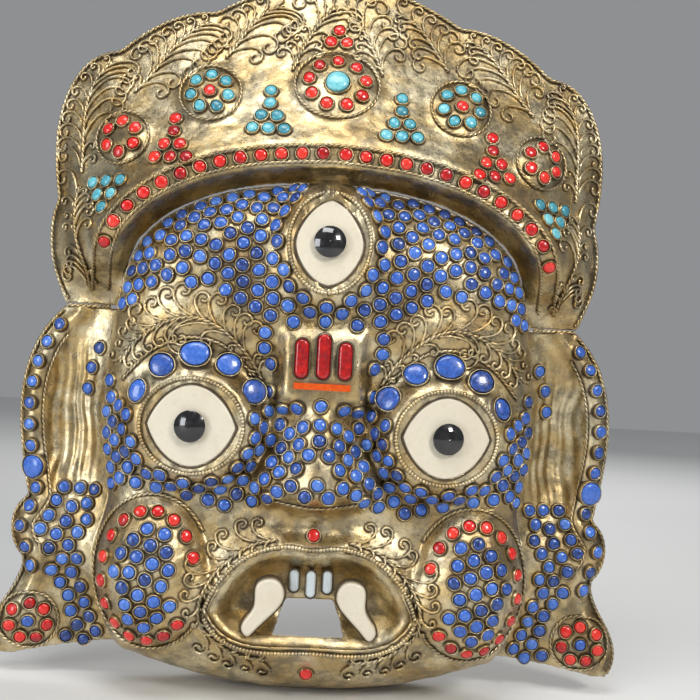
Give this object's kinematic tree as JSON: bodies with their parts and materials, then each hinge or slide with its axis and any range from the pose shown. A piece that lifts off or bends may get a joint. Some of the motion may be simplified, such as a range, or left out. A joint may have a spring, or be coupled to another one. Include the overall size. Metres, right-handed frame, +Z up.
{
  "type": "ceremonial wall mask",
  "caption": "Hollow gilt brass wall mask of a three-eyed fanged guardian, set with stones in collets, with filigree, a lobed crown and large ears.",
  "frame": {"origin": "on the wall plane behind the root of the nose, on the line of symmetry", "axes": "+Z up the face, -Y out of the face towards the viewer, +X to the viewer's right"},
  "size_m": [0.223, 0.0556, 0.2521],
  "materials": {
    "gilt_brass": "aged satin",
    "lapis": "polished",
    "coral": "polished",
    "turquoise": "polished",
    "bone": "polished",
    "onyx": "mirror polished"
  },
  "bodies": {
    "root": {"face_shell": "gilt_brass", "crown_sheet": "gilt_brass", "left_ear_sheet": "gilt_brass", "right_ear_sheet": "gilt_brass", "mouth_plate": "gilt_brass", "left_eye_bezel": "gilt_brass", "right_eye_bezel": "gilt_brass", "brow_eye_bezel": "gilt_brass", "brow_bar_collets": "gilt_brass", "fang_bezels": "gilt_brass", "tooth_bezels": "gilt_brass", "forehead_collets": "gilt_brass", "midface_collets": "gilt_brass", "left_cheek_collets": "gilt_brass", "right_cheek_collets": "gilt_brass", "lid_collets": "gilt_brass", "lip_collets": "gilt_brass", "ear_collets": "gilt_brass", "crown_band_collets": "gilt_brass", "crown_collets": "gilt_brass", "crown_band_ropes": "gilt_brass", "crown_roundel_ropes": "gilt_brass", "crown_edge_wires": "gilt_brass", "eye_ropes": "gilt_brass", "seam_wires": "gilt_brass", "cheek_ropes": "gilt_brass", "mouth_ropes": "gilt_brass", "ear_ropes": "gilt_brass", "crown_scrollwork": "gilt_brass", "left_brow_scrollwork": "gilt_brass", "right_brow_scrollwork": "gilt_brass", "muzzle_scrollwork": "gilt_brass", "loop_pads": "gilt_brass", "hanging_loop": "gilt_brass", "forehead_lapis": "lapis", "midface_lapis": "lapis", "left_cheek_lapis": "lapis", "right_cheek_lapis": "lapis", "lid_lapis": "lapis", "ear_lapis": "lapis", "brow_coral_bars": "coral", "brow_coral_plate": "coral", "left_cheek_coral": "coral", "right_cheek_coral": "coral", "lip_corals": "coral", "ear_lobe_coral": "coral", "crown_band_coral": "coral", "crown_coral": "coral", "crown_turquoise": "turquoise", "left_eye_white": "bone", "right_eye_white": "bone", "brow_eye_white": "bone", "left_fang": "bone", "right_fang": "bone", "front_teeth": "bone", "left_eye_pupil": "onyx", "right_eye_pupil": "onyx", "brow_eye_pupil": "onyx"}
  },
  "joints": []
}
